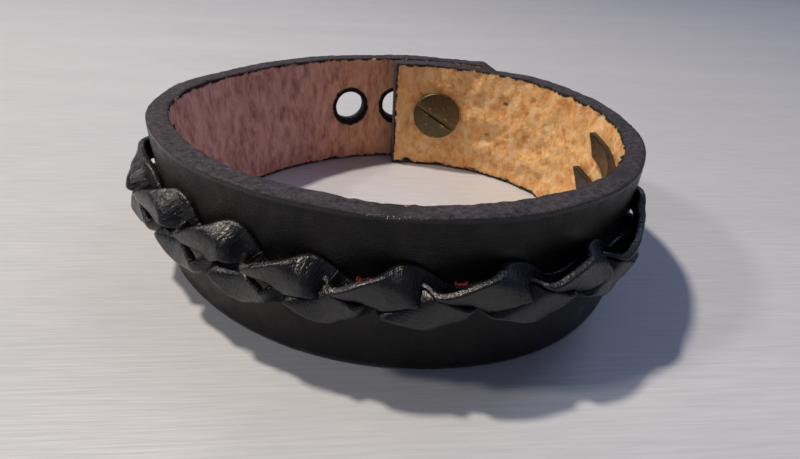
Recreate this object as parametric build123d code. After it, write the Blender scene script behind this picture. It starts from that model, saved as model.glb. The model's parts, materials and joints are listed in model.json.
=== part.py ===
"""Braided leather cuff: one strap curled round a wrist, a braid of three laces, and a ball stud.

Millimetres, +Z up. The strap stands on its lower edge, so it is drawn in plan and extruded.
Places along the strap are arc lengths s on its centreline, clockwise from above:
s = 0 at the stud, negative towards the strap's stud end, rising round the cuff to its tail,
which laps over the outside of the stud end and reaches the stud again at s = LOOP_LENGTH.
"""
import os
from copy import copy
from math import cos, degrees, pi, radians, sin

from build123d import *

# Strap
STRAP_HEIGHT = 19.0
LEATHER = 2.7
EDGE_ROUND = 0.35
STUD_TO_END = 8.2         # from the stud to the square stud end
STUD_TO_TIP = 15.0        # from the stud to the nose of the tail
NOSE_HEIGHT = 10.0
NOSE_TAPER = 8.0          # length of the clipped corners of the tail

# Plan shape of the centreline: arcs that join smoothly
LAP_GAP = 1.0             # the stud's base lies in this gap between the two layers
END_RADIUS, END_RUN = 28.1, 12.6      # the stud end, up to END_RUN past the stud
RIGHT_TURN = 135.7
FRONT_RADIUS, FRONT_TURN = 34.9, 75.8
LEFT_RADIUS, LEFT_TURN = 16.7, 45.3

# Adjusting holes in the tail
HOLE_RADIUS = 2.65
HOLE_PITCH = 9.0
HOLE_COUNT = 3
HOLE_LEVEL = 10.2
HOLE_EASE = 0.6           # the stud sits this far from the middle of its hole

# Living hinge of the tail, between the two free holes
HINGE_S = -13.0           # on the outer face

# Stud
BASE_RADIUS, BASE_THICK = 3.0, 0.8
NECK_RADIUS = 1.4
BALL_RADIUS = 2.2
THREAD_RADIUS = 0.9
THREAD_CLEARANCE = 0.06
THREAD_DEPTH = 3.0
HEAD_RADIUS, HEAD_THICK, HEAD_DOME = 4.1, 0.8, 0.4
HEAD_SEAT = 0.35          # room for the flat head on the hollow side of the strap
SLOT_WIDTH, SLOT_DEPTH, SLOT_ANGLE = 1.1, 0.6, -30.0
SHANK_CLEARANCE = 0.2

# Braid of three flat laces on the outside
BRAID_LEVEL = 11.4
BRAID_START = 55.0        # the braid's right end
BRAID_PERIOD = 27.0       # one lace's full wave along the strap
BRAID_STEPS = 7           # crossings on each edge
SWING = 2.5               # sideways, up and down
LIFT = 1.5                # over and under
LACE_WIDTH = 2.7
LACE_THICK = 0.8
LACE_SEAT = 0.15          # room between the lowest lace and the strap
SECTIONS_PER_STEP = 4

# Lace ends, from the top down: each goes through a slot and its tail lies along the inside,
# towards the stud end from both slots
RIGHT_LEVELS, LEFT_LEVELS = (3.3, 0.0, -2.9), (2.3, -1.5, -4.4)
RIGHT_TAILS, LEFT_TAILS = (17.0, 3.0, 19.4), (2.4, 7.0, 9.0)
TAIL_STEP = 2.0
SLOT_REACH = 4.2          # from the braid's end to the slot
SLOT_ROOM = 0.25

# Tack stitches of thread: square loops through two holes, side by side, in two notches above
# the braid and at its left end. Each is (s, level above the braid's middle).
TACKS = ((75.25, 3.0), (84.25, 3.0), (120.4, 0.4))
TACK_LENGTH = 1.0         # between the two holes
THREAD = 0.5
THREAD_ROOM = 0.05

HALF = LEATHER / 2
LAP_RADIUS = END_RADIUS + LEATHER + LAP_GAP


def inward(turn):
    """Unit vector from the strap towards its centre of curvature, after a clockwise turn."""
    return -sin(radians(turn)), -cos(radians(turn))


def close_loop():
    """Radii of the right and back arcs that make the lap exactly parallel.

    The centre of curvature steps along the shared normal at each change of radius, so the
    steps must add up to nothing for the lap to have the stud end's own centre.
    """
    lap_start = degrees(STUD_TO_END / END_RADIUS)
    turn_a = degrees(END_RUN / END_RADIUS)
    turn_b = turn_a + RIGHT_TURN
    turn_c = turn_b + FRONT_TURN
    turn_d = turn_c + LEFT_TURN
    turn_e = 360 - lap_start
    a, b, c, d, e = (inward(turn) for turn in (turn_a, turn_b, turn_c, turn_d, turn_e))
    right, back = zip(*[(a[i] - b[i], d[i] - e[i]) for i in (0, 1)])
    known = [
        END_RADIUS * a[i] - FRONT_RADIUS * b[i] - (LEFT_RADIUS - FRONT_RADIUS) * c[i]
        + LEFT_RADIUS * d[i] - LAP_RADIUS * e[i]
        for i in (0, 1)
    ]
    scale = right[0] * back[1] - right[1] * back[0]
    right_radius = (known[0] * back[1] - known[1] * back[0]) / scale
    back_radius = (right[0] * known[1] - right[1] * known[0]) / scale
    return right_radius, back_radius, turn_e - turn_d


def strap_arcs():
    """The centreline as a list of (start s, radius, start turn in degrees, centre)."""
    right_radius, back_radius, back_turn = close_loop()
    start_turn = -degrees(STUD_TO_END / END_RADIUS)
    turn, s = start_turn, -STUD_TO_END
    centre = (0.0, -END_RADIUS)
    arcs = [(s, END_RADIUS, turn, centre)]
    s += STUD_TO_END + END_RUN
    turn += degrees((STUD_TO_END + END_RUN) / END_RADIUS)
    for radius, arc_turn in (
        (right_radius, RIGHT_TURN),
        (FRONT_RADIUS, FRONT_TURN),
        (LEFT_RADIUS, LEFT_TURN),
        (back_radius, back_turn),
        (LAP_RADIUS, None),
    ):
        step = radius - arcs[-1][1]
        centre = tuple(c + step * n for c, n in zip(centre, inward(turn)))
        arcs.append((s, radius, turn, centre))
        if arc_turn:
            s += radius * radians(arc_turn)
            turn += arc_turn
    return arcs


ARCS = strap_arcs()
LOOP_LENGTH = ARCS[-1][0] + LAP_RADIUS * radians(360 - ARCS[-1][2])
BRAID_END = BRAID_START + BRAID_STEPS * BRAID_PERIOD / 3


def arc_at(s):
    return [arc for arc in ARCS if arc[0] <= s + 1e-6][-1]


def strap_point(s, offset=0.0, level=0.0):
    """A point beside the centreline, offset outwards, at a height above the lower edge."""
    start, radius, turn, centre = arc_at(s)
    inx, iny = inward(turn + degrees((s - start) / radius))
    return Vector(centre[0] - (radius + offset) * inx, centre[1] - (radius + offset) * iny, level)


def strap_plane(s, offset=0.0, level=0.0):
    """A plane on the strap: x along it anticlockwise, y up, z outwards."""
    start, radius, turn, _ = arc_at(s)
    inx, iny = inward(turn + degrees((s - start) / radius))
    return Plane(strap_point(s, offset, level), x_dir=(iny, -inx, 0), z_dir=(-inx, -iny, 0))


def strap_point_on(first, last, part, offset):
    """A point part of the way along one arc, which keeps to that arc at its far end."""
    start, radius, turn, centre = arc_at(first)
    s = first + part * (last - first)
    inx, iny = inward(turn + degrees((s - start) / radius))
    return Vector(centre[0] - (radius + offset) * inx, centre[1] - (radius + offset) * iny)


def curved_side(first, last, offset):
    """The arcs of one side of the strap between two places on it, offset outwards."""
    cuts = [first] + [arc[0] for arc in ARCS if first < arc[0] < last] + [last]
    return [
        ThreePointArc(*(strap_point_on(a, b, part, offset) for part in (0.0, 0.5, 1.0)))
        for a, b in zip(cuts, cuts[1:])
    ]


def strip(first, last, inner, outer, height):
    """A curved wall that follows the strap between two places and two offsets."""
    outside, inside = curved_side(first, last, outer), curved_side(first, last, inner)
    ends = [
        Line(outside[0] @ 0, inside[0] @ 0),
        Line(outside[-1] @ 1, inside[-1] @ 1),
    ]
    return extrude(make_face(Wire(outside + inside + ends)), height, dir=(0, 0, 1))


def round_long_edges(wall):
    """Rounds the upper and lower edges of a strap piece."""
    long_edges = wall.faces().filter_by(Axis.Z).edges().filter_by(GeomType.CIRCLE)
    return fillet(long_edges, EDGE_ROUND)


def through_leather(s, sketch):
    """A cutter through one layer of the strap, with the shape of a sketch."""
    return extrude(strap_plane(s) * sketch, LEATHER, both=True)


def hole(s, level, radius):
    return through_leather(s, Pos(0, level) * Circle(radius))


def hole_places():
    """Where the adjusting holes are on the tail, from the stud's own back to the last."""
    return [LOOP_LENGTH + HOLE_EASE - HOLE_PITCH * number for number in range(HOLE_COUNT)]


def lace_slot_places():
    return BRAID_START - SLOT_REACH, BRAID_END + SLOT_REACH


def make_strap_band():
    """The stud end, the sides, the front and the back of the strap, up to the hinge."""
    hinge = LOOP_LENGTH + HINGE_S
    band = round_long_edges(strip(-STUD_TO_END, hinge, -HALF, HALF, STRAP_HEIGHT))
    band -= hole(0, HOLE_LEVEL, THREAD_RADIUS + SHANK_CLEARANCE)
    for place in hole_places():
        if place < hinge:
            band -= hole(place, HOLE_LEVEL, HOLE_RADIUS)
    for place, levels in zip(lace_slot_places(), (RIGHT_LEVELS, LEFT_LEVELS)):
        slot_height = levels[0] - levels[-1] + LACE_WIDTH + 2 * SLOT_ROOM
        slot_level = BRAID_LEVEL + (levels[0] + levels[-1]) / 2
        slot = Pos(0, slot_level) * Rectangle(LACE_THICK + 2 * SLOT_ROOM, slot_height)
        band -= through_leather(place, slot)
    tack_hole = Rectangle(THREAD + 2 * THREAD_ROOM, THREAD + 2 * THREAD_ROOM)
    for place, level in TACKS:
        for leg in (-TACK_LENGTH / 2, TACK_LENGTH / 2):
            band -= through_leather(place, Pos(leg, BRAID_LEVEL + level) * tack_hole)
    return band


def make_strap_tail():
    """The end of the strap that swings out, with its holes and its clipped nose."""
    first, last = LOOP_LENGTH + HINGE_S, LOOP_LENGTH + STUD_TO_TIP
    tail = round_long_edges(strip(first, last, -HALF, HALF, STRAP_HEIGHT))
    for place in hole_places():
        if place > first:
            tail -= hole(place, HOLE_LEVEL, HOLE_RADIUS)
    drop = (STRAP_HEIGHT - NOSE_HEIGHT) / 2
    for corner, rise in ((0, drop), (STRAP_HEIGHT, -drop)):
        clip = Polyline((NOSE_TAPER, corner), (0, corner + rise), (-2, corner + rise), (-2, corner - rise),
                        (NOSE_TAPER, corner - rise), close=True)
        tail -= through_leather(last, make_face(clip))
    return tail


def make_ball_post():
    """The stud's base between the layers, its neck through the tail's hole, and its ball."""
    neck_length = LAP_GAP + LEATHER + BALL_RADIUS - BASE_THICK
    foot = strap_plane(0, HALF, HOLE_LEVEL)
    base = extrude(foot * Circle(BASE_RADIUS), BASE_THICK)
    neck = extrude(foot.offset(BASE_THICK) * Circle(NECK_RADIUS), neck_length)
    ball = foot.offset(BASE_THICK + neck_length) * Sphere(BALL_RADIUS)
    bore = extrude(foot * Circle(THREAD_RADIUS + THREAD_CLEARANCE), BASE_THICK + THREAD_DEPTH)
    return base + neck + ball - bore


def make_stud_screw():
    """A slotted screw: flat head on the flesh side, shank up into the ball post."""
    seat = strap_plane(0, -HALF - HEAD_SEAT, HOLE_LEVEL)
    under = Plane(seat.origin, x_dir=seat.x_dir, z_dir=-seat.z_dir)
    head = extrude(under * Circle(HEAD_RADIUS), HEAD_THICK)
    dome_radius = (HEAD_RADIUS**2 + HEAD_DOME**2) / (2 * HEAD_DOME)
    dome = under.offset(HEAD_THICK + HEAD_DOME - dome_radius) * Sphere(dome_radius)
    crown = extrude(under.offset(HEAD_THICK) * Circle(HEAD_RADIUS), HEAD_DOME) & dome
    shank_length = HEAD_SEAT + LEATHER + BASE_THICK + THREAD_DEPTH - SHANK_CLEARANCE
    shank = extrude(seat * Circle(THREAD_RADIUS), shank_length)
    slot_floor = under.offset(HEAD_THICK + HEAD_DOME - SLOT_DEPTH)
    slot_shape = Rot(0, 0, SLOT_ANGLE) * Rectangle(3 * HEAD_RADIUS, SLOT_WIDTH)
    slot = extrude(slot_floor * slot_shape, HEAD_THICK)
    return head + crown + shank - slot


def lace_section(s, sideways, lift):
    """The four corners of one cross-section of a lace, standing across the strap."""
    low = HALF + LACE_SEAT + lift
    level = BRAID_LEVEL + sideways
    corners = ((low, -1), (low + LACE_THICK, -1), (low + LACE_THICK, 1), (low, 1))
    return [strap_point(s, offset, level + side * LACE_WIDTH / 2) for offset, side in corners]


def flat_face(*corners):
    return Face(Wire.make_polygon(corners, close=True))


def skin(sections):
    """A solid of flat faces through a row of four-cornered sections."""
    faces = [flat_face(*sections[0]), flat_face(*sections[-1])]
    for near, far in zip(sections, sections[1:]):
        for i in range(4):
            j = (i + 1) % 4
            faces.append(flat_face(near[i], near[j], far[j]))
            faces.append(flat_face(near[i], far[j], far[i]))
    return Solid(Shell(faces))


def make_lace(number):
    """A lace: its wave in the braid, and at each end a turn through the slot to the inside."""
    step = BRAID_PERIOD / 3
    count = BRAID_STEPS * SECTIONS_PER_STEP
    waves = []
    for i in range(count + 1):
        s = BRAID_START + i * step / SECTIONS_PER_STEP
        phase = pi / 3 - 2 * pi * (s - BRAID_START) / BRAID_PERIOD + 2 * pi * number / 3
        waves.append((s, SWING * sin(phase), LIFT * (1 + sin(2 * phase))))
    right_rank = end_rank(number, 0)
    left_rank = end_rank(number, BRAID_STEPS)
    meet = SLOT_REACH * 0.4
    run_in = (BRAID_START - meet, RIGHT_LEVELS[right_rank], 0.0)
    run_out = (BRAID_END + meet, LEFT_LEVELS[left_rank], 0.0)
    lace = skin([lace_section(*place) for place in [run_in] + waves + [run_out]])
    right_slot, left_slot = lace_slot_places()
    lace += lace_end(run_in, right_slot, -1, right_slot - RIGHT_TAILS[right_rank])
    lace += lace_end(run_out, left_slot, 1, left_slot - LEFT_TAILS[left_rank])
    return lace


def end_rank(number, steps):
    """The order, from the top, in which a lace reaches an end of the braid."""
    return (number - steps) % 3


def lace_end(joined, slot, away, tip):
    """The turn of a lace through its slot to its tip, drawn in plan and given the lace's width.

    It starts a little inside the wave, so that the two join in a solid overlap.
    """
    place, sideways, _ = joined
    top = HALF + LACE_SEAT + LACE_THICK
    back, near, far = place - away * 0.3, slot - away * LACE_THICK / 2, slot + away * LACE_THICK / 2
    against_strap, clear_of_it = LACE_THICK - top, -top
    if (tip - slot) * away > 0:
        first, second = against_strap, clear_of_it
    else:
        first, second = clear_of_it, against_strap
    steps = max(1, round(abs(tip - slot) / TAIL_STEP))
    out = [strap_point(far + (tip - far) * i / steps, first) for i in range(steps + 1)]
    home = [strap_point(tip + (near - tip) * i / steps, second) for i in range(steps + 1)]
    plan = Polyline(strap_point(back, top), strap_point(far, top), *out, *home,
                    strap_point(near, top - LACE_THICK), strap_point(back, top - LACE_THICK), close=True)
    bottom = BRAID_LEVEL + sideways - LACE_WIDTH / 2
    return Pos(0, 0, bottom) * extrude(make_face(plan), LACE_WIDTH, dir=(0, 0, 1))


def make_tack_stitches():
    """Loops of thread through the strap, in the notches of the braid."""
    depth, length = LEATHER + 2 * THREAD_ROOM, TACK_LENGTH - THREAD
    loop = Rectangle(length + 2 * THREAD, depth + 2 * THREAD) - Rectangle(length, depth)
    stitches = []
    for place, level in TACKS:
        on_strap = strap_plane(place, 0, BRAID_LEVEL + level)
        lying = Plane(on_strap.origin, x_dir=on_strap.x_dir, z_dir=(0, 0, 1))
        stitches += extrude(lying * loop, THREAD / 2, both=True).solids()
    return Compound(children=stitches)


def make_parts():
    parts = {
        "strap_band": make_strap_band(),
        "strap_tail": make_strap_tail(),
        "ball_post": make_ball_post(),
        "stud_screw": make_stud_screw(),
        "tack_stitches": make_tack_stitches(),
    }
    for number in range(3):
        parts[f"lace_{number + 1}"] = make_lace(number)
    return parts


PARTS = make_parts()
CENTRE = Compound(children=[copy(part) for part in PARTS.values()]).bounding_box().center()
TO_ORIGIN = Pos(-CENTRE.X, -CENTRE.Y, 0)

os.makedirs("parts", exist_ok=True)
for name, part in PARTS.items():
    export_step(TO_ORIGIN * part, f"parts/{name}.step")

hinge_line = strap_point(LOOP_LENGTH + HINGE_S, HALF)
print("origin shift", TO_ORIGIN.position, "loop", LOOP_LENGTH)
print("hinge line", TO_ORIGIN.position + hinge_line)
print("stud axis", TO_ORIGIN.position + strap_point(0, 0, HOLE_LEVEL))
for place in hole_places():
    plane = strap_plane(place, 0, HOLE_LEVEL)
    print("hole", TO_ORIGIN.position + plane.origin, "axis", plane.z_dir)
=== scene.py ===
"""Looks for the braided leather cuff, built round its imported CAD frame.

The script works in millimetres along the strap and turns them into metres when a mesh is
made. A place on the strap is (s, offset, level): s is the arc length on its centreline,
clockwise from above and 0 at the stud, offset is outwards from that line, and level is the
height above the lower edge. The braid is at s = 55 to 118, and the tail reaches the stud
again at s = LOOP_LENGTH, on the outside of the stud end.
"""

import json
from itertools import product
from math import cos, pi, radians, sin

import bmesh
import bpy
import numpy as np
from mathutils import Matrix, Vector


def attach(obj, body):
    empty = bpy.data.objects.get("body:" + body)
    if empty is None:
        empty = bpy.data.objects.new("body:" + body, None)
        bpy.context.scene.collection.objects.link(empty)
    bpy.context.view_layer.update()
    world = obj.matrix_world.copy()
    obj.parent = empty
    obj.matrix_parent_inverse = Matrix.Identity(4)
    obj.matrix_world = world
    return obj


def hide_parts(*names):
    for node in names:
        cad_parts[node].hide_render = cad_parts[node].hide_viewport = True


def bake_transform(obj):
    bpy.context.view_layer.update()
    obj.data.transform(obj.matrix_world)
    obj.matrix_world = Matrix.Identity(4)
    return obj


MM = 0.001

# Strap, as in the CAD model
STRAP_HEIGHT = 19.0
LEATHER = 2.7
HALF = LEATHER / 2
STUD_TO_END = 8.2
STUD_TO_TIP = 15.0
NOSE_HEIGHT = 10.0
NOSE_TAPER = 8.0
LAP_GAP = 1.0
END_RADIUS, END_RUN = 28.1, 12.6
RIGHT_TURN = 135.7
FRONT_RADIUS, FRONT_TURN = 34.9, 75.8
LEFT_RADIUS, LEFT_TURN = 16.7, 45.3
LAP_RADIUS = END_RADIUS + LEATHER + LAP_GAP
HOLE_RADIUS, HOLE_PITCH, HOLE_COUNT, HOLE_LEVEL, HOLE_EASE = 2.65, 9.0, 3, 10.2, 0.6

# Braid
BRAID_LEVEL = 11.4
BRAID_START = 55.0
BRAID_PERIOD = 27.0
BRAID_STEPS = 7
BRAID_END = BRAID_START + BRAID_STEPS * BRAID_PERIOD / 3
SLOT_REACH = 4.2
RIGHT_LEVELS, LEFT_LEVELS = (3.3, 0.0, -2.9), (2.3, -1.5, -4.4)
RIGHT_TAILS, LEFT_TAILS = (17.0, 3.0, 19.4), (2.4, 7.0, 9.0)
FOLDS = (61.0, 70.0, 79.6, 88.2, 96.6, 105.2, 114.8)     # where the upper edge really folds
SWING_AT, SWING = (80, 88, 97, 107, 118), (1.8, 1.95, 3.1, 3.1, 2.2)
RISE_AT, RISE = (55, 62, 80, 88, 97, 107, 118), (0, -0.4, -0.3, -0.85, -0.6, -0.3, 0)
LACE_WIDTH, LACE_SPREAD, LACE_THICK = 2.95, 0.75, 0.9    # wider where it lies on top
END_WIDTH = 2.9
LACE_STEP = 0.28          # between the rings of a lace
TIP_TAPER = 2.2           # length of a lace's pointed tip
LIFT, LIFT_SHARP = 0.95, 3.6
DIVE_SLANT, EMERGE_SLANT = 0.23, 0.37     # of the wave, per millimetre across the lace
LACE_SEAT = 0.1

# Stitches: s, and level above the braid's. The first two lie lower than in the CAD model,
# partly under and in the laces.
TACKS = ((75.25, 0.3), (84.25, 0.3), (120.4, 0.4))
TACK_LENGTH = 1.0
THREAD = 0.5

# Stud
BALL_RADIUS = 2.2
BASE_RADIUS, BASE_THICK = 3.0, 0.8
NECK_RADIUS = 1.4
HEAD_RADIUS, HEAD_THICK, HEAD_DOME, HEAD_SEAT = 4.1, 0.8, 0.4, 0.35
SHANK_RADIUS, SHANK_END = 0.9, HALF + 3.9
SLOT_TURN, SLOT_LENGTH, SLOT_WIDTH, SLOT_DEPTH = radians(30), 12, 1.1, 1.2

SEAM_S = 119.0            # where the strap's two visual pieces meet, under the braid's left end

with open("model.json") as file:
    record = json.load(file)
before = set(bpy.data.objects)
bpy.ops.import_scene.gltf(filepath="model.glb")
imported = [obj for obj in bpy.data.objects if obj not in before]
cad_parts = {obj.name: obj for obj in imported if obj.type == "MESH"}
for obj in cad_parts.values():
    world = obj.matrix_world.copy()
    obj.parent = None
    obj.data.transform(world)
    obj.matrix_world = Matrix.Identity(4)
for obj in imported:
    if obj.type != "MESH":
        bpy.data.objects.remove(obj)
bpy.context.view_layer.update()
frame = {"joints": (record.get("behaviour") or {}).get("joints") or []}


# ---------------------------------------------------------------- places on the strap

def inward(turn):
    return np.array([-sin(turn), -cos(turn)])


def strap_arcs():
    """The centreline: rows of start s, radius, start turn, centre x and y."""
    turn_a = END_RUN / END_RADIUS
    turn_b = turn_a + radians(RIGHT_TURN)
    turn_c = turn_b + radians(FRONT_TURN)
    turn_d = turn_c + radians(LEFT_TURN)
    turn_e = 2 * pi - STUD_TO_END / END_RADIUS
    a, b, c, d, e = (inward(turn) for turn in (turn_a, turn_b, turn_c, turn_d, turn_e))
    known = (END_RADIUS * a - FRONT_RADIUS * b - (LEFT_RADIUS - FRONT_RADIUS) * c
             + LEFT_RADIUS * d - LAP_RADIUS * e)
    right_radius, back_radius = np.linalg.solve(np.column_stack((a - b, d - e)), known)
    rows = [[-STUD_TO_END, END_RADIUS, -STUD_TO_END / END_RADIUS, 0.0, -END_RADIUS]]
    s, turn, centre = END_RUN, turn_a, np.array([0.0, -END_RADIUS])
    for radius, last_turn in (
        (right_radius, turn_b), (FRONT_RADIUS, turn_c), (LEFT_RADIUS, turn_d),
        (back_radius, turn_e), (LAP_RADIUS, None),
    ):
        centre = centre + (radius - rows[-1][1]) * inward(turn)
        rows.append([s, radius, turn, centre[0], centre[1]])
        if last_turn:
            s += radius * (last_turn - turn)
            turn = last_turn
    return np.array(rows)


ARCS = strap_arcs()
LOOP_LENGTH = ARCS[-1, 0] + LAP_RADIUS * (2 * pi - ARCS[-1, 2])
TIP_S = LOOP_LENGTH + STUD_TO_TIP
HOLES = [LOOP_LENGTH + HOLE_EASE - HOLE_PITCH * number for number in range(HOLE_COUNT)]
# Each slot is s, the level of its middle, and its height
RIGHT_SLOT, LEFT_SLOT = [
    (s, BRAID_LEVEL + (levels[0] + levels[-1]) / 2, levels[0] - levels[-1] + END_WIDTH + 0.5)
    for s, levels in (
        (BRAID_START - SLOT_REACH, RIGHT_LEVELS), (BRAID_END + SLOT_REACH, LEFT_LEVELS),
    )
]
STUD = Vector([j for j in frame["joints"] if j["name"] == "screw_turn"][0]["pos_m"])


def on_strap(place):
    """Points in metres from an array of (s, offset, level) in millimetres."""
    place = np.asarray(place, float)
    s, offset, level = place[..., 0], place[..., 1], place[..., 2]
    row = ARCS[np.clip(np.searchsorted(ARCS[:, 0], s + 1e-6, side="right") - 1, 0, None)]
    turn = row[..., 2] + (s - row[..., 0]) / row[..., 1]
    radius = row[..., 1] + offset
    x = row[..., 3] + radius * np.sin(turn)
    y = row[..., 4] + radius * np.cos(turn)
    return np.stack((x * MM + STUD.x, y * MM + STUD.y, level * MM), -1)


def off_strap(points, first, last):
    """The (s, offset, level) of points in metres, for a stretch of the strap."""
    x, y = (points[:, 0] - STUD.x) / MM, (points[:, 1] - STUD.y) / MM
    place = np.zeros((len(points), 3))
    place[:, 2] = points[:, 2] / MM
    best = np.full(len(points), np.inf)
    for number, (start, radius, turn, cx, cy) in enumerate(ARCS):
        end = ARCS[number + 1, 0] if number + 1 < len(ARCS) else TIP_S + 5
        angle = np.arctan2(x - cx, y - cy) - turn
        angle = (angle + 0.5) % (2 * pi) - 0.5
        s = start + angle * radius
        offset = np.hypot(x - cx, y - cy) - radius
        outside = np.maximum(0, np.maximum(max(start, first) - s, s - min(end, last)))
        cost = outside + 0.01 * np.abs(offset)
        better = cost < best
        best[better] = cost[better]
        place[better, 0], place[better, 1] = s[better], offset[better]
    return place


def value_noise(points, size, seed):
    """Smooth noise from -1 to 1 that repeats nothing, one value per point."""
    grid = points / size
    cell = np.floor(grid).astype(np.int64)
    part = grid - cell
    fade = part * part * (3 - 2 * part)
    total = np.zeros(len(points))
    for corner in product((0, 1), repeat=3):
        key = (cell + corner) @ np.array([73856093, 19349663, 83492791]) + seed * 2654435761
        key = (key ^ (key >> 13)) * 1274126177 & 0xFFFFFFFF
        key = (key ^ (key >> 16)) * 2246822519 & 0xFFFFFFFF
        weight = np.prod(np.where(corner, fade, 1 - fade), axis=1)
        total += weight * ((key ^ (key >> 15)) & 0xFFFF) / 0xFFFF
    return total * 2 - 1


def layered_noise(points, size, seed, layers=3):
    return sum(value_noise(points, size / 2**i, seed + i) / 2**i for i in range(layers))


def ramp(value, low, high):
    """0 below low, 1 above high, smooth between."""
    t = np.clip((value - low) / (high - low), 0, 1)
    return t * t * (3 - 2 * t)


# ---------------------------------------------------------------- mesh helpers

def new_object(name, points, faces):
    mesh = bpy.data.meshes.new(name)
    mesh.from_pydata([tuple(p) for p in points], [], faces)
    piece = bpy.data.objects.new(name, mesh)
    bpy.context.scene.collection.objects.link(piece)
    return piece


def tidy_normals(piece, angle=40):
    mesh = bmesh.new()
    mesh.from_mesh(piece.data)
    bmesh.ops.recalc_face_normals(mesh, faces=mesh.faces)
    mesh.to_mesh(piece.data)
    mesh.free()
    piece.data.shade_smooth()
    piece.data.set_sharp_from_angle(angle=radians(angle))


def points_of(piece):
    points = np.zeros(len(piece.data.vertices) * 3)
    piece.data.vertices.foreach_get("co", points)
    return points.reshape(-1, 3)


def set_attribute(piece, name, values):
    kind = "FLOAT_VECTOR" if values.ndim == 2 else "FLOAT"
    field = "vector" if values.ndim == 2 else "value"
    attribute = piece.data.attributes.new(name, kind, "POINT")
    attribute.data.foreach_set(field, values.astype(np.float32).ravel())


def cut(piece, cutters, solver="MANIFOLD"):
    """Subtracts each cutter from the piece for good."""
    for cutter in cutters:
        modifier = piece.modifiers.new("cut", "BOOLEAN")
        modifier.operation = "DIFFERENCE"
        modifier.solver = solver
        modifier.object = cutter
        depsgraph = bpy.context.evaluated_depsgraph_get()
        mesh = bpy.data.meshes.new_from_object(piece.evaluated_get(depsgraph))
        piece.modifiers.clear()
        piece.data = mesh
        bpy.data.objects.remove(cutter)


def grid_faces(rows, columns, first=0, wrap=False):
    """Quads over a grid of points numbered row by row."""
    across = columns if wrap else columns - 1
    return [
        (first + r * columns + c, first + r * columns + (c + 1) % columns,
         first + (r + 1) * columns + (c + 1) % columns, first + (r + 1) * columns + c)
        for r in range(rows - 1) for c in range(across)
    ]


def tube_faces(rings, count):
    """Faces of a closed tube of rings, each of count points, with a cap at both ends."""
    last = (rings - 1) * count
    caps = [tuple(range(count)), tuple(range(last, last + count))[::-1]]
    return grid_faces(rings, count, wrap=True) + caps


# ---------------------------------------------------------------- strap

EDGE_ROUND = 0.4


def graded(low, high, step):
    """Even steps between two edges, with closer ones along each edge."""
    near = (0.0, 0.12, 0.28, 0.5)
    middle = np.linspace(low + 0.8, high - 0.8, max(2, int((high - low - 1.6) / step) + 1))
    return np.concatenate(([low + n for n in near], middle, [high - n for n in reversed(near)]))


def strap_relief(place):
    """Moves strap points by the leather's own unevenness."""
    s, offset, level = place.T
    moved = place.copy()
    tan = 1 - ramp(s, 50, 95)
    flesh = 1 - ramp(offset, -HALF, -HALF + 0.5)
    lumps = layered_noise(place * (1, 0.5, 1), 2.6, 3) * (0.10 + 0.28 * tan)
    lumps += layered_noise(place * (1, 0.5, 1.6), 0.9, 9, 2) * (0.04 + 0.12 * tan)
    moved[:, 1] += flesh * lumps
    grain = ramp(offset, HALF - 0.5, HALF)
    moved[:, 1] += grain * layered_noise(place * (1, 0, 0.7), 7.0, 21) * 0.07
    top, bottom = ramp(level, STRAP_HEIGHT - 0.6, STRAP_HEIGHT), 1 - ramp(level, 0, 0.6)
    wander = layered_noise(place * (1, 0.3, 0), 9.0, 31) * 0.16
    rough = layered_noise(place * (1, 1, 0), 0.8, 37) * 0.07
    moved[:, 2] += top * (wander + rough - 0.1) + bottom * (np.abs(wander) * 0.5 + np.abs(rough))
    fray = (1 - ramp(level, 0, 1.2)) * flesh * tan
    moved[:, 2] += fray * (0.3 + layered_noise(place * (1, 0, 0), 0.7, 41) * 0.45)
    moved[:, 1] += fray * 0.3
    return moved


def strap_wall(name, first, last, first_is_cut, last_is_cut):
    """A closed wall of leather between two places, as a box of points bent round."""
    along = graded(first, last, 0.45)
    across = np.array([-1, -0.9, -0.72, -0.4, 0, 0.4, 0.72, 0.9, 1]) * HALF
    up = graded(0, STRAP_HEIGHT, 0.5)
    shape = (len(along), len(across), len(up))
    skin = np.zeros(shape, bool)
    skin[[0, -1]] = skin[:, [0, -1]] = skin[:, :, [0, -1]] = True
    number = np.full(shape, -1)
    number[skin] = np.arange(skin.sum())
    grid = np.stack(np.meshgrid(along, across, up, indexing="ij"), -1)[skin]
    low = np.array([first + EDGE_ROUND * first_is_cut, -HALF + EDGE_ROUND, EDGE_ROUND])
    high = np.array([last - EDGE_ROUND * last_is_cut, HALF - EDGE_ROUND, STRAP_HEIGHT - EDGE_ROUND])
    core = np.clip(grid, low, high)
    away = grid - core
    length = np.linalg.norm(away, axis=1, keepdims=True)
    place = core + away / np.maximum(length, 1e-9) * np.minimum(length, EDGE_ROUND)
    taper = np.clip((place[:, 0] - (TIP_S - NOSE_TAPER)) / NOSE_TAPER, 0, 1)
    inset = taper * (STRAP_HEIGHT - NOSE_HEIGHT) / 2
    place = strap_relief(place)
    place[:, 2] = inset + place[:, 2] * (1 - 2 * inset / STRAP_HEIGHT)
    faces = []
    for axis, end in product((0, 1, 2), (0, -1)):
        sheet = np.take(number, end, axis=axis)
        a, b, c, d = sheet[:-1, :-1], sheet[1:, :-1], sheet[1:, 1:], sheet[:-1, 1:]
        faces += [tuple(int(v) for v in quad) for quad in np.stack((a, b, c, d), -1).reshape(-1, 4)]
    return new_object(name, on_strap(place), faces)


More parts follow.
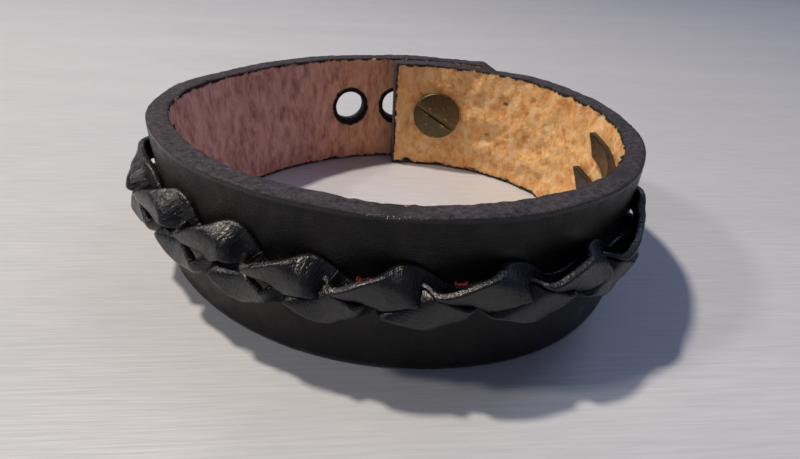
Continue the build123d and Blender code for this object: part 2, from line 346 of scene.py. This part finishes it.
def hole_cutter(s, level, radius, seed):
    """A punch: a slightly uneven cylinder that flares at both faces of the leather."""
    within = np.linspace(-HALF, HALF, 15)
    heights = np.concatenate(([-HALF - 1.2, -HALF - 0.4], within, [HALF + 0.4, HALF + 1.2]))
    count = 96
    angle = np.linspace(0, 2 * pi, count, endpoint=False)

    def ring(height, reach):
        x, z = s + np.cos(angle) * reach, level + np.sin(angle) * reach
        return np.column_stack((x, np.full(count, height), z))

    rings = []
    for height in heights:
        flare = 0.22
        if abs(height) <= HALF:
            flare = 0.16 * np.exp(-max(0, HALF - abs(height)) / 0.18)
        noise = layered_noise(ring(height, radius), 0.7, seed) * 0.035
        rings.append(ring(height, radius + flare + noise))
    faces = tube_faces(len(heights), count)
    cutter = new_object("cutter", on_strap(np.concatenate(rings)), faces)
    tidy_normals(cutter)
    return cutter


def box_cutter(s, level, width, height):
    """A rectangular punch with rounded ends, right through the leather."""
    outline = []
    radius = min(width, height) * 0.45
    for corner, (x, z) in enumerate(((1, 1), (-1, 1), (-1, -1), (1, -1))):
        middle_x, middle_z = x * (width / 2 - radius), z * (height / 2 - radius)
        for step in range(6):
            angle = (corner + step / 5) * pi / 2
            outline.append((middle_x + radius * cos(angle), middle_z + radius * sin(angle)))
    offsets = np.linspace(-HALF - 1, HALF + 1, 9)
    points = [(s + x, offset, level + z) for offset in offsets for x, z in outline]
    faces = tube_faces(len(offsets), len(outline))
    cutter = new_object("cutter", on_strap(points), faces)
    tidy_normals(cutter)
    return cutter


def mark_strap(piece, first, last):
    """Writes each vertex's place, and its distances to the cut edges and to the holes."""
    place = off_strap(points_of(piece), first, last)
    s, offset, level = place.T
    taper = np.clip((s - (TIP_S - NOSE_TAPER)) / NOSE_TAPER, 0, 1)
    inset = taper * (STRAP_HEIGHT - NOSE_HEIGHT) / 2
    edge = np.minimum(level - inset, STRAP_HEIGHT - inset - level)
    edge = np.minimum(edge, np.minimum(s + STUD_TO_END, TIP_S - s))
    rim = np.full(len(s), 9.0)
    for hole in HOLES:
        rim = np.minimum(rim, np.hypot(s - hole, level - HOLE_LEVEL) - HOLE_RADIUS)
    rim = np.minimum(rim, np.hypot(s, level - HOLE_LEVEL) - 1.2)
    for slot, middle, height in (RIGHT_SLOT, LEFT_SLOT):
        reach = np.maximum(np.abs(s - slot) - 0.7, np.abs(level - middle) - height / 2)
        rim = np.minimum(rim, reach)
    set_attribute(piece, "strap_place", place)
    set_attribute(piece, "strap_edge", np.clip(edge, -1, 9))
    set_attribute(piece, "strap_rim", np.clip(rim, -1, 9))


def make_strap():
    body = strap_wall("strap_body", -STUD_TO_END, SEAM_S, True, False)
    lap = strap_wall("strap_lap", SEAM_S, TIP_S, False, True)
    for piece in (body, lap):
        tidy_normals(piece)
    tack_size = THREAD + 0.2
    body_cutters = [hole_cutter(0, HOLE_LEVEL, 1.15, 5)]
    lap_cutters = [
        hole_cutter(hole, HOLE_LEVEL, HOLE_RADIUS, 50 + n) for n, hole in enumerate(HOLES)
    ]
    for cutters, (slot, middle, height) in (
        (body_cutters, RIGHT_SLOT), (lap_cutters, LEFT_SLOT),
    ):
        cutters.append(box_cutter(slot, middle, LACE_THICK + 0.5, height))
    for tack, level in TACKS:
        cutters = body_cutters if tack < SEAM_S else lap_cutters
        for leg in (-TACK_LENGTH / 2, TACK_LENGTH / 2):
            cutters.append(box_cutter(tack + leg, BRAID_LEVEL + level, tack_size, tack_size))
    cut(body, body_cutters)
    cut(lap, lap_cutters)
    mark_strap(body, -STUD_TO_END - 1, SEAM_S)
    mark_strap(lap, SEAM_S, TIP_S + 1)
    for piece in (body, lap):
        tidy_normals(piece)
        piece.data.materials.clear()
        piece.data.materials.append(leather_material())
    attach(body, "cuff")
    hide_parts("strap_band")
    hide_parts("strap_tail")
    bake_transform(lap)


# ---------------------------------------------------------------- laces

LACE_PROFILE_STEPS = 9


def lace_profile(width, thick):
    """The outline of a lace's cross-section: across it and through it."""
    half, round_off = width / 2, 0.3 * thick
    top = []
    for across in np.linspace(-1, 1, LACE_PROFILE_STEPS):
        top.append((across * (half - round_off), thick / 2 + 0.07 * (1 - across * across)))
    corner = [(half - round_off + round_off * sin(a), thick / 2 - round_off + round_off * cos(a))
              for a in np.linspace(0.35, pi / 2, 4)]
    right = corner + [(x, -z) for x, z in reversed(corner)]
    bottom = [(x, -thick / 2) for x, _ in reversed(top)]
    left = [(-x, z) for x, z in reversed(right)]
    return np.array(top + right + bottom + left)


def catmull(points, count):
    """Points on a smooth curve through the given ones."""
    before = 2 * np.array(points[0]) - points[1]
    after = 2 * np.array(points[-1]) - points[-2]
    points = np.array([before, *points, after])
    out = []
    for i in range(1, len(points) - 2):
        p0, p1, p2, p3 = points[i - 1:i + 3]
        for t in np.linspace(0, 1, count, endpoint=False):
            out.append(0.5 * (2 * p1 + (p2 - p0) * t + (2 * p0 - 5 * p1 + 4 * p2 - p3) * t**2
                              + (3 * p1 - p0 - 3 * p2 + p3) * t**3))
    out.append(points[-2])
    return np.array(out)


def plateau(phase):
    """Over and under, 1 and -1, with a quick change at each fold."""
    return np.tanh(LIFT_SHARP * np.sin(2 * phase)) / np.tanh(LIFT_SHARP)


def zigzag(phase):
    """Up and down across the strap: straight while the lace is over, then a quick turn back."""
    phase = np.asarray(phase)[..., None] + np.linspace(-0.25, 0.25, 9)
    part = phase % pi / (pi / 2)
    back = np.maximum(2 - part, 0) ** 3 - 0.3 * np.sin(pi * (part - 1))
    rise = np.where(part < 1, part, back)
    return (np.where(phase % (2 * pi) < pi, 1, -1) * rise).mean(-1)


def lace_route(number):
    """Rows along a lace, right tip to left tip.

    Each is s, offset, level, tilt, width, fold, phase of the wave, and share in the braid.
    """
    even = np.arange(BRAID_START, BRAID_END + 0.01, 0.3)
    phase = pi / 3 - 2 * pi * (even - BRAID_START) / BRAID_PERIOD + 2 * pi * number / 3
    even_folds = [BRAID_START + (fold + 0.75) * BRAID_PERIOD / 3 for fold in range(BRAID_STEPS)]
    s = np.interp(even, (BRAID_START, *even_folds, BRAID_END), (BRAID_START, *FOLDS, BRAID_END))
    swing = zigzag(phase) * np.interp(s, SWING_AT, SWING)
    level = BRAID_LEVEL + np.interp(s, RISE_AT, RISE) + swing
    offset = HALF + LACE_SEAT + LACE_THICK / 2 + 0.6 * np.exp(-((BRAID_END - s) / 5) ** 2)
    tilt = 0.36 * np.cos(phase) - 0.34 * np.sin(phase) * np.abs(np.sin(phase))
    width = LACE_WIDTH + LACE_SPREAD * np.sin(2 * phase)
    fold = np.abs(np.sin(phase)) ** 3
    share = np.ones(len(s))
    wave = np.column_stack((s, offset, level, tilt, width, fold, phase, share))
    right, left = number % 3, (number - BRAID_STEPS) % 3
    near = lace_end(wave[6], RIGHT_SLOT[0], -1, RIGHT_LEVELS[right], -RIGHT_TAILS[right])
    far = lace_end(wave[-7], LEFT_SLOT[0], 1, LEFT_LEVELS[left], -LEFT_TAILS[left])
    return np.concatenate((near[::-1], wave[7:-7], far))


def lace_end(joined, slot, away, sideways, tail):
    """The turn of a lace through its slot to its tip on the inside."""
    level, phase = BRAID_LEVEL + sideways, joined[6]
    under = -HALF - LACE_THICK / 2 - 0.12
    way, proud = np.sign(tail), 1.1 if away > 0 else 0.75
    between = 0.6 * LACE_WIDTH + 0.4 * END_WIDTH
    keys = [
        joined,
        (slot - away * 2.3, HALF + proud, 0.5 * level + 0.5 * joined[2], 0, between, 1, phase, 0.4),
        (slot - away * 0.6, HALF + 0.6 * proud, level, 0, END_WIDTH, 1, phase, 0),
        (slot, 0.5, level, 0, END_WIDTH, 1, phase, 0),
        (slot, -HALF + 0.1, level, 0, END_WIDTH, 1, phase, 0),
        (slot + way * 0.6, under + 0.05, level, 0, END_WIDTH, 1, phase, 0),
        (slot + way * 1.6, under, level, 0, END_WIDTH, 0.2, phase, 0),
        (slot + 0.5 * (way * 1.6 + tail), under, level, 0, END_WIDTH, 0, phase, 0),
        (slot + tail, under, level, 0, END_WIDTH, 0, phase, 0),
    ]
    return catmull(keys, 7)


def make_lace(number):
    route = lace_route(number)
    centre = on_strap(route[:, :3]) / MM
    length = np.concatenate(([0], np.cumsum(np.linalg.norm(np.diff(centre, axis=0), axis=1))))
    even = np.linspace(0, length[-1], int(length[-1] / LACE_STEP))
    route = np.column_stack([np.interp(even, length, column) for column in route.T])
    centre = np.column_stack([np.interp(even, length, column) for column in centre.T])
    ahead = np.gradient(centre, axis=0)
    ahead /= np.linalg.norm(ahead, axis=1, keepdims=True)
    up = np.array([0, 0, 1.0])
    across = up - (ahead @ up)[:, None] * ahead
    across /= np.linalg.norm(across, axis=1, keepdims=True)
    out = np.cross(across, ahead)
    outward = (on_strap(route[:, :3] + (0, 0.1, 0)) / MM - centre) / 0.1
    middle = len(even) // 2
    out *= np.sign((out[middle] * outward[middle]).sum())
    turn, lean = np.cos(route[:, 3])[:, None], np.sin(route[:, 3])[:, None]
    across, out = across * turn + out * lean, out * turn - across * lean
    rings, marks = [], []
    for i, (width, fold, phase, share) in enumerate(route[:, 4:]):
        from_tip = min(even[i], even[-1] - even[i])
        pointed = np.clip(0.12 + 0.88 * from_tip / TIP_TAPER, 0, 1)
        profile = lace_profile(width, LACE_THICK)
        x, z = profile.T
        skew = width * 0.5 * (1 - pointed)
        x = x * pointed + skew
        place = np.column_stack((np.full(len(x), even[i]), x, z)) + (0, 0, 40.0 * number)
        wrinkle = layered_noise(place * (1, 0.35, 0.5), 0.75, 61) * (0.02 + 0.05 * fold)
        wander = layered_noise(place * (1, 0, 0), 5.0, 67) * 0.12
        z = z * (1 + wrinkle / LACE_THICK * 2)
        dive, emerge = sin(phase) * abs(sin(phase)), cos(phase) * abs(cos(phase))
        crease = DIVE_SLANT * dive * x + EMERGE_SLANT * emerge * x - 0.15 * abs(emerge)
        lift = share * LIFT * (1 + plateau(phase + crease))
        ring = centre[i] + (x + wander)[:, None] * across[i] + z[:, None] * out[i]
        rings.append(ring + lift[:, None] * outward[i])
        along = np.full(len(x), even[i] + 200 * number)
        marks.append(np.column_stack((along, x, profile[:, 1])))
    count = len(rings[0])
    points = np.concatenate(rings) * MM
    lace = new_object(f"braid_lace_{number + 1}", points, tube_faces(len(rings), count))
    set_attribute(lace, "lace_place", np.concatenate(marks))
    set_attribute(lace, "lace_fold", np.repeat(route[:, 5], count))
    tidy_normals(lace, 50)
    lace.data.materials.append(lace_material())
    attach(lace, "cuff")
    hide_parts(f"lace_{number + 1}")


# ---------------------------------------------------------------- thread

def make_thread():
    """Two-ply tack stitches through the strap, under the braid and at its left end."""
    points, faces = [], []
    for tack, level in TACKS:
        route = thread_loop(tack, BRAID_LEVEL + level)
        for ply in (0, 1):
            add_ply(points, faces, route, ply * pi)
    thread = new_object("tack_thread", np.array(points), faces)
    tidy_normals(thread, 60)
    thread.data.materials.append(thread_material())
    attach(thread, "cuff")
    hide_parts("tack_stitches")


def thread_loop(tack, level):
    """A closed route out of one hole, over the leather and back through the other."""
    leg, reach, bend = TACK_LENGTH / 2, HALF + THREAD / 2 + 0.08, 0.3
    corners = [(reach, leg), (reach, -leg), (-reach, -leg), (-reach, leg)]
    outline = []
    for i, corner in enumerate(corners):
        here = np.array(corner)
        back, on = np.array(corners[i - 1]) - here, np.array(corners[(i + 1) % 4]) - here
        entry = here + back / np.linalg.norm(back) * bend
        leave = here + on / np.linalg.norm(on) * bend
        straight = on - on / np.linalg.norm(on) * 2 * bend
        for t in np.linspace(0, 1, 5):
            outline.append(entry * (1 - t) ** 2 + 2 * here * t * (1 - t) + leave * t * t)
        for t in np.linspace(0, 1, 9)[1:-1]:
            outline.append(leave + straight * t)
    return np.array([(tack + along, offset, level) for offset, along in outline])


def add_ply(points, faces, route, start):
    """One ply of the thread, wound round the route."""
    centre = on_strap(route) / MM
    ahead = np.roll(centre, -1, 0) - np.roll(centre, 1, 0)
    ahead /= np.linalg.norm(ahead, axis=1, keepdims=True)
    side = np.tile((0.0, 0.0, 1.0), (len(route), 1))
    other = np.cross(ahead, side)
    turns, ply_radius, winding = 6, THREAD * 0.27, THREAD * 0.23
    count, first = 8, len(points)
    for i in range(len(centre)):
        angle = start + 2 * pi * turns * i / len(centre)
        middle = centre[i] + winding * (cos(angle) * side[i] + sin(angle) * other[i])
        for k in range(count):
            a = 2 * pi * k / count
            points.append((middle + ply_radius * (cos(a) * side[i] + sin(a) * other[i])) * MM)
    for r in range(len(centre)):
        here, there = first + r * count, first + (r + 1) % len(centre) * count
        for k in range(count):
            beside = (k + 1) % count
            faces.append((here + k, here + beside, there + beside, there + k))


# ---------------------------------------------------------------- stud

def lathe(name, profile, axis_place, count=96):
    """A turned piece: profile rows are (radius, offset from the centreline)."""
    origin = on_strap(axis_place)
    out = on_strap(np.array(axis_place) + (0, 1, 0)) - origin
    out /= np.linalg.norm(out)
    up = np.array([0, 0, 1.0])
    side = np.cross(up, out)
    points = []
    for radius, offset in profile:
        for k in range(count):
            a = 2 * pi * k / count
            points.append(origin + (out * offset + (side * cos(a) + up * sin(a)) * radius) * MM)
    return new_object(name, points, tube_faces(len(profile), count)), origin, out, side


def arc_profile(cx, cy, radius, first, last, steps):
    angles = [radians(a) for a in np.linspace(first, last, steps)]
    return [(cx + radius * cos(a), cy + radius * sin(a)) for a in angles]


def slot_cutter(middle, out, side):
    """A bar across the screw's head, given in metres."""
    along = side * cos(SLOT_TURN) + np.array([0, 0, 1.0]) * sin(SLOT_TURN)
    over = np.cross(out, along)
    axes = along * SLOT_LENGTH * MM, over * SLOT_WIDTH * MM, out * SLOT_DEPTH * MM
    basis = Matrix((*((*axis, 0) for axis in axes), (0, 0, 0, 1))).transposed()
    basis.translation = Vector(middle)
    slot = bpy.data.meshes.new("slot")
    mesh = bmesh.new()
    bmesh.ops.create_cube(mesh, size=1)
    mesh.transform(basis)
    bmesh.ops.recalc_face_normals(mesh, faces=mesh.faces)
    mesh.to_mesh(slot)
    mesh.free()
    cutter = bpy.data.objects.new("cutter", slot)
    bpy.context.scene.collection.objects.link(cutter)
    return cutter


def make_screw():
    seat, end = -HALF - HEAD_SEAT, SHANK_END
    head_low = seat - HEAD_THICK
    profile = [(0.02, head_low - HEAD_DOME)]
    for t in np.linspace(0.05, 0.93, 22):
        profile.append((HEAD_RADIUS * t, head_low - HEAD_DOME * (1 - t * t)))
    profile += arc_profile(HEAD_RADIUS - 0.25, head_low + 0.2, 0.25, -62, 0, 6)
    profile += [(HEAD_RADIUS, seat - 0.15), (HEAD_RADIUS - 0.1, seat), (SHANK_RADIUS + 0.2, seat)]
    profile += [(SHANK_RADIUS, seat + 0.2), (SHANK_RADIUS, end - 0.3)]
    profile += [(SHANK_RADIUS - 0.2, end), (0.02, end)]
    screw, origin, out, side = lathe("stud_screw_brass", profile, (0, 0, HOLE_LEVEL))
    tidy_normals(screw)
    cut(screw, [slot_cutter(origin + out * (head_low - HEAD_DOME) * MM, out, side)])
    bevel = screw.modifiers.new("soft_edges", "BEVEL")
    bevel.width, bevel.segments, bevel.angle_limit = 0.07 * MM, 2, radians(50)
    screw.data.materials.clear()
    screw.data.materials.append(brass_material())
    screw.data.shade_smooth()
    screw.data.set_sharp_from_angle(angle=radians(35))
    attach(screw, "screw")
    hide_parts("stud_screw")


def make_post():
    foot, base_out = HALF + 0.02, HALF + BASE_THICK
    ball = base_out + LAP_GAP + LEATHER + BALL_RADIUS - BASE_THICK
    profile = [(1.0, foot), (BASE_RADIUS - 0.15, foot), (BASE_RADIUS, HALF + 0.15)]
    profile += [(BASE_RADIUS, base_out - 0.15), (BASE_RADIUS - 0.15, base_out)]
    profile += [(NECK_RADIUS + 0.3, base_out), (NECK_RADIUS + 0.05, base_out + 0.2)]
    profile += [(NECK_RADIUS, base_out + 0.6), (NECK_RADIUS, ball - 2.0)]
    profile += arc_profile(0, ball, BALL_RADIUS, -47, 88, 26)
    profile.append((0.02, ball + BALL_RADIUS))
    post, *_ = lathe("stud_post_brass", profile, (0, 0, HOLE_LEVEL))
    tidy_normals(post, 35)
    post.data.materials.append(brass_material())
    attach(post, "cuff")
    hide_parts("ball_post")


# ---------------------------------------------------------------- materials

class Graph:
    """Short calls for building one material's nodes."""

    def __init__(self, name):
        self.material = bpy.data.materials.new(name)
        self.material.use_nodes = True
        self.tree = self.material.node_tree
        self.shader = self.tree.nodes["Principled BSDF"]

    def put(self, socket, value):
        if isinstance(value, bpy.types.NodeSocket):
            self.tree.links.new(value, socket)
        elif socket.type == "RGBA" and len(value) == 3:
            socket.default_value = (*value, 1)
        else:
            socket.default_value = value

    def node(self, kind, settings=None, **inputs):
        node = self.tree.nodes.new(kind)
        for key, value in (settings or {}).items():
            setattr(node, key, value)
        for key, value in inputs.items():
            self.put(node.inputs[key.replace("_", " ")], value)
        return node

    def attribute(self, name):
        return self.node("ShaderNodeAttribute", {"attribute_name": name})

    def math(self, operation, a, b=0.0):
        node = self.tree.nodes.new("ShaderNodeMath")
        node.operation = operation
        self.put(node.inputs[0], a)
        self.put(node.inputs[1], b)
        return node.outputs[0]

    def stretch(self, vector, scale):
        node = self.tree.nodes.new("ShaderNodeVectorMath")
        node.operation = "MULTIPLY"
        self.put(node.inputs[0], vector)
        node.inputs[1].default_value = scale
        return node.outputs[0]

    def noise(self, vector, scale, detail=3.0, rough=0.55, distortion=0.0):
        node = self.node("ShaderNodeTexNoise", Vector=vector, Scale=scale, Detail=detail,
                         Roughness=rough, Distortion=distortion)
        return node.outputs["Fac"]

    def cells(self, vector, scale):
        """Distance to the nearest border between cells."""
        settings = {"feature": "DISTANCE_TO_EDGE"}
        node = self.node("ShaderNodeTexVoronoi", settings, Vector=vector, Scale=scale)
        return node.outputs["Distance"]

    def span(self, value, low, high, to_low=0.0, to_high=1.0):
        node = self.tree.nodes.new("ShaderNodeMapRange")
        node.interpolation_type = "SMOOTHSTEP"
        self.put(node.inputs["Value"], value)
        ends = {"From Min": low, "From Max": high, "To Min": to_low, "To Max": to_high}
        for key, number in ends.items():
            self.put(node.inputs[key], number)
        return node.outputs["Result"]

    def mix(self, factor, a, b):
        node = self.tree.nodes.new("ShaderNodeMix")
        node.data_type = "RGBA"
        self.put(node.inputs["Factor"], factor)
        self.put(node.inputs[6], a)
        self.put(node.inputs[7], b)
        return node.outputs[2]

    def blend(self, factor, a, b):
        node = self.tree.nodes.new("ShaderNodeMix")
        self.put(node.inputs["Factor"], factor)
        self.put(node.inputs[2], a)
        self.put(node.inputs[3], b)
        return node.outputs[0]

    def colours(self, value, *stops):
        node = self.tree.nodes.new("ShaderNodeValToRGB")
        self.put(node.inputs["Fac"], value)
        elements = node.color_ramp.elements
        while len(elements) < len(stops):
            elements.new(0.5)
        for element, (place, colour) in zip(elements, stops):
            element.position = place
            element.color = (*colour, 1)
        return node.outputs["Color"]

    def bump(self, height, distance, strength=1.0):
        node = self.node("ShaderNodeBump", Height=height, Distance=distance * MM, Strength=strength)
        return node.outputs["Normal"]

    def finish(self, **inputs):
        for key, value in inputs.items():
            self.put(self.shader.inputs[key.replace("_", " ")], value)
        return self.material


MATERIALS = {}


def once(make):
    """Makes a material the first time it is asked for and then reuses it."""
    def get():
        if make not in MATERIALS:
            MATERIALS[make] = make()
        return MATERIALS[make]
    return get


@once
def leather_material():
    """Black dyed grain outside, dyed cut edges, and raw flesh inside."""
    g = Graph("cuff_leather")
    place = g.attribute("strap_place").outputs["Vector"]
    edge = g.attribute("strap_edge").outputs["Fac"]
    rim = g.attribute("strap_rim").outputs["Fac"]
    parts = g.node("ShaderNodeSeparateXYZ", Vector=place)
    along, offset = parts.outputs["X"], parts.outputs["Y"]

    inside = g.span(offset, -0.75, -1.1)
    ragged = g.math("SUBTRACT", g.noise(place, 1.1, 5, 0.65), 0.5)
    past_edge = g.span(g.math("ADD", edge, g.math("MULTIPLY", ragged, 1.5)), 0.35, 0.62)
    past_rim = g.span(g.math("ADD", rim, g.math("MULTIPLY", ragged, 0.9)), 0.75, 1.0)
    flesh = g.math("MULTIPLY", inside, g.math("MULTIPLY", past_edge, past_rim))
    cut_face = g.math("MAXIMUM", g.span(edge, 0.32, 0.12), g.span(rim, 0.12, 0.0))

    fibre = g.noise(g.stretch(place, (1.0, 0.6, 0.75)), 0.9, 9, 0.66, 0.4)
    blotch = g.noise(place, 0.22, 3, 0.5)
    tan = g.colours(fibre, (0.28, (0.46, 0.17, 0.05)), (0.40, (0.86, 0.41, 0.14)),
                    (0.52, (0.97, 0.60, 0.27)), (0.70, (0.99, 0.78, 0.47)))
    tan = g.mix(g.span(blotch, 0.4, 0.75, 0.0, 0.4), tan, (0.90, 0.42, 0.13))
    streaks = g.noise(g.stretch(place, (1.0, 0.5, 0.4)), 0.9, 7, 0.66, 0.3)
    mauve = g.colours(streaks, (0.28, (0.26, 0.12, 0.105)), (0.45, (0.58, 0.31, 0.28)),
                      (0.6, (0.74, 0.45, 0.41)), (0.8, (0.86, 0.62, 0.56)))
    brown = g.colours(streaks, (0.28, (0.34, 0.13, 0.07)), (0.48, (0.74, 0.38, 0.22)),
                      (0.75, (0.88, 0.58, 0.38)))
    to_mauve = g.span(along, 55, 95)
    to_brown = g.span(g.math("ADD", along, g.math("MULTIPLY", blotch, 12)), 158, 174)
    inner = g.mix(to_mauve, tan, g.mix(to_brown, mauve, brown))

    cloud = g.noise(place, 0.35, 4, 0.6)
    outer = g.colours(cloud, (0.3, (0.0045, 0.0036, 0.0028)), (0.7, (0.014, 0.011, 0.0085)))
    specks = g.span(g.noise(place, 3.4, 3, 0.75), 0.66, 0.74)
    cut_colour = g.colours(g.noise(place, 1.6, 5, 0.75), (0.32, (0.010, 0.009, 0.011)),
                           (0.68, (0.105, 0.090, 0.105)))
    cut_colour = g.mix(g.math("MULTIPLY", specks, 0.7), cut_colour, (0.46, 0.38, 0.34))
    # A band 0.12 to 0.75 mm in from the strap's edges gets two things. Lower roughness there gives
    # the polished bevel. A painted highlight, a lighter colour mixed into the black outside, stands
    # in for the bright line along the rounded edge.
    burnish_and_painted_highlight = g.math("MULTIPLY", g.span(edge, 0.12, 0.25), g.span(edge, 0.75, 0.45))
    outer = g.mix(g.math("MULTIPLY", burnish_and_painted_highlight, 0.6), outer, (0.055, 0.050, 0.048))
    dyed = g.mix(cut_face, outer, cut_colour)
    bled = g.mix(inside, dyed, g.mix(cut_face, (0.012, 0.009, 0.008), cut_colour))
    colour = g.mix(flesh, bled, inner)

    pores = g.math("MULTIPLY", g.span(g.cells(place, 2.6), 0.0, 0.2), 0.5)
    grain = g.math("ADD", pores, g.noise(place, 1.3, 5, 0.6))
    grain_height = g.math("MULTIPLY", grain, 0.10)
    shag = g.noise(g.stretch(place, (1.0, 0.6, 0.8)), 2.1, 8, 0.7, 0.5)
    flesh_height = g.math("MULTIPLY", shag, g.blend(to_mauve, 0.9, 0.45))
    cut_height = g.math("MULTIPLY", g.noise(place, 2.6, 6, 0.75), 0.55)
    dyed_height = g.blend(cut_face, grain_height, cut_height)
    height = g.blend(g.math("MAXIMUM", flesh, inside), dyed_height, flesh_height)
    smooth = g.noise(place, 0.6, 3, 0.5)
    rough = g.blend(burnish_and_painted_highlight, g.span(smooth, 0.3, 0.7, 0.36, 0.52), 0.28)
    rough = g.blend(cut_face, rough, 0.72)
    rough = g.blend(inside, rough, 0.95)
    return g.finish(Base_Color=colour, Roughness=rough, Normal=g.bump(height, 0.45, 0.9),
                    Specular_IOR_Level=0.32)


@once
def lace_material():
    """Glossy dyed lace with creases across it at the folds."""
    g = Graph("lace_leather")
    place = g.attribute("lace_place").outputs["Vector"]
    fold = g.attribute("lace_fold").outputs["Fac"]
    creases = g.noise(g.stretch(place, (2.6, 0.35, 0.6)), 1.0, 5, 0.6, 0.8)
    creases = g.math("MULTIPLY", creases, g.span(fold, 0.0, 1.0, 0.25, 1.0))
    grain = g.math("MULTIPLY", g.noise(place, 2.8, 4, 0.6), 0.3)
    pores = g.span(g.cells(g.stretch(place, (1.0, 0.7, 1.0)), 3.2), 0.0, 0.15)
    height = g.math("ADD", creases, grain)
    height = g.math("ADD", height, g.math("MULTIPLY", pores, 0.08))
    cloud = g.noise(place, 0.5, 4, 0.6)
    colour = g.colours(cloud, (0.3, (0.0035, 0.0035, 0.0037)), (0.7, (0.010, 0.010, 0.0105)))
    side = g.node("ShaderNodeSeparateXYZ", Vector=place).outputs["Y"]
    # Painted highlight: the lace is lighter far out across it, at the sides of its widest parts and
    # near its tips. This stands in for the bright line along its rounded edges.
    uneven = g.math("MULTIPLY", g.noise(place, 1.5, 4, 0.7), 0.5)
    painted_edge_highlight = g.span(g.math("ADD", g.math("ABSOLUTE", side), uneven), 2.15, 2.45)
    colour = g.mix(g.math("MULTIPLY", painted_edge_highlight, 0.5), colour, (0.035, 0.034, 0.036))
    rough = g.span(g.noise(place, 1.2, 3, 0.6), 0.3, 0.7, 0.22, 0.36)
    return g.finish(Base_Color=colour, Roughness=rough, Normal=g.bump(height, 0.22, 0.8),
                    Specular_IOR_Level=0.6)


@once
def thread_material():
    g = Graph("red_thread")
    place = g.node("ShaderNodeTexCoord").outputs["Object"]
    tone = g.noise(place, 3000, 3, 0.6)
    colour = g.colours(tone, (0.3, (0.30, 0.006, 0.018)), (0.7, (0.72, 0.03, 0.06)))
    return g.finish(Base_Color=colour, Roughness=0.6, Normal=g.bump(g.noise(place, 6000, 2), 0.05),
                    Sheen_Weight=0.3)


@once
def brass_material():
    """Dark antique brass: brown lacquer rubbed back to brass on edges and high spots."""
    g = Graph("antique_brass")
    place = g.node("ShaderNodeTexCoord").outputs["Object"]
    cloud = g.noise(place, 900, 5, 0.65)
    fine = g.noise(place, 3500, 5, 0.7)
    point = g.node("ShaderNodeNewGeometry").outputs["Pointiness"]
    rubbed = g.math("MAXIMUM", g.span(point, 0.515, 0.56), g.span(cloud, 0.62, 0.75, 0.0, 0.6))
    dark = g.colours(fine, (0.3, (0.055, 0.042, 0.025)), (0.7, (0.18, 0.135, 0.075)))
    colour = g.mix(rubbed, dark, (0.46, 0.33, 0.12))
    rough = g.span(cloud, 0.3, 0.7, 0.30, 0.48)
    return g.finish(Base_Color=colour, Metallic=0.9, Roughness=rough, Normal=g.bump(fine, 0.04))


@once
def floor_material():
    g = Graph("pale_floor")
    place = g.node("ShaderNodeTexCoord").outputs["Object"]
    streaks = g.noise(g.stretch(place, (110, 2600, 1)), 1.0, 4, 0.6)
    broad = g.noise(g.stretch(place, (9, 60, 1)), 1.0, 2, 0.5)
    tone = g.math("ADD", g.math("MULTIPLY", streaks, 0.7), g.math("MULTIPLY", broad, 0.3))
    colour = g.colours(tone, (0.36, (0.57, 0.58, 0.61)), (0.64, (0.68, 0.68, 0.70)))
    return g.finish(Base_Color=colour, Roughness=0.42, Normal=g.bump(streaks, 0.05),
                    Specular_IOR_Level=0.4)


# ---------------------------------------------------------------- stage, lights, camera

def make_floor():
    half = 2.5
    corners = [(-half, -half, 0), (half, -half, 0), (half, half, 0), (-half, half, 0)]
    floor = new_object("floor", corners, [(0, 1, 2, 3)])
    floor.rotation_euler.z = radians(14.6)      # the streaks' direction
    floor.data.materials.append(floor_material())


def area_light(name, place, target, size, power, colour):
    light = bpy.data.lights.new(name, "AREA")
    light.shape = "DISK"
    light.size, light.energy, light.color = size, power, colour
    lamp = bpy.data.objects.new(name, light)
    lamp.location = place
    lamp.rotation_euler = (Vector(target) - Vector(place)).to_track_quat("-Z", "Y").to_euler()
    bpy.context.scene.collection.objects.link(lamp)


def make_lights():
    area_light("warm_lamp", (-0.222, 0.025, 0.447), (0, 0, 0), 0.035, 1.8, (1.0, 0.90, 0.77))
    area_light("low_lamp", (-0.42, -0.15, 0.40), (0, 0, 0), 0.06, 0.75, (1.0, 0.93, 0.84))
    area_light("cool_window", (0.45, 0.45, 0.80), (0, 0, 0), 0.45, 1.2, (0.55, 0.66, 1.0))
    world = bpy.data.worlds.new("soft_room")
    world.use_nodes = True
    background = world.node_tree.nodes["Background"]
    background.inputs["Color"].default_value = (0.60, 0.68, 1.0, 1)
    background.inputs["Strength"].default_value = 0.15
    bpy.context.scene.world = world


CAMERA_PLACE = STUD + Vector((8.31, -92.34, 31.65)) * MM
CAMERA_HEADING = (-0.1507, 0.9886)
CAMERA_PITCH, CAMERA_ROLL = radians(31.8), radians(3.14)
CAMERA_LENS = 23.4


def make_camera():
    camera = bpy.data.cameras.new("camera")
    camera.sensor_width, camera.lens = 36, CAMERA_LENS
    camera.clip_start = 0.005
    forward = Vector((*(cos(CAMERA_PITCH) * h for h in CAMERA_HEADING), -sin(CAMERA_PITCH)))
    right = Vector((CAMERA_HEADING[1], -CAMERA_HEADING[0], 0))
    up = right.cross(forward)
    tilted_right = cos(CAMERA_ROLL) * right + sin(CAMERA_ROLL) * up
    tilted_up = cos(CAMERA_ROLL) * up - sin(CAMERA_ROLL) * right
    holder = bpy.data.objects.new("camera", camera)
    holder.matrix_world = Matrix((tilted_right, tilted_up, -forward)).transposed().to_4x4()
    holder.location = CAMERA_PLACE
    bpy.context.scene.collection.objects.link(holder)
    bpy.context.scene.camera = holder


make_strap()
for lace_number in range(3):
    make_lace(lace_number)
make_thread()
make_screw()
make_post()
make_floor()
make_lights()
make_camera()
bpy.context.scene.view_settings.view_transform = "Standard"
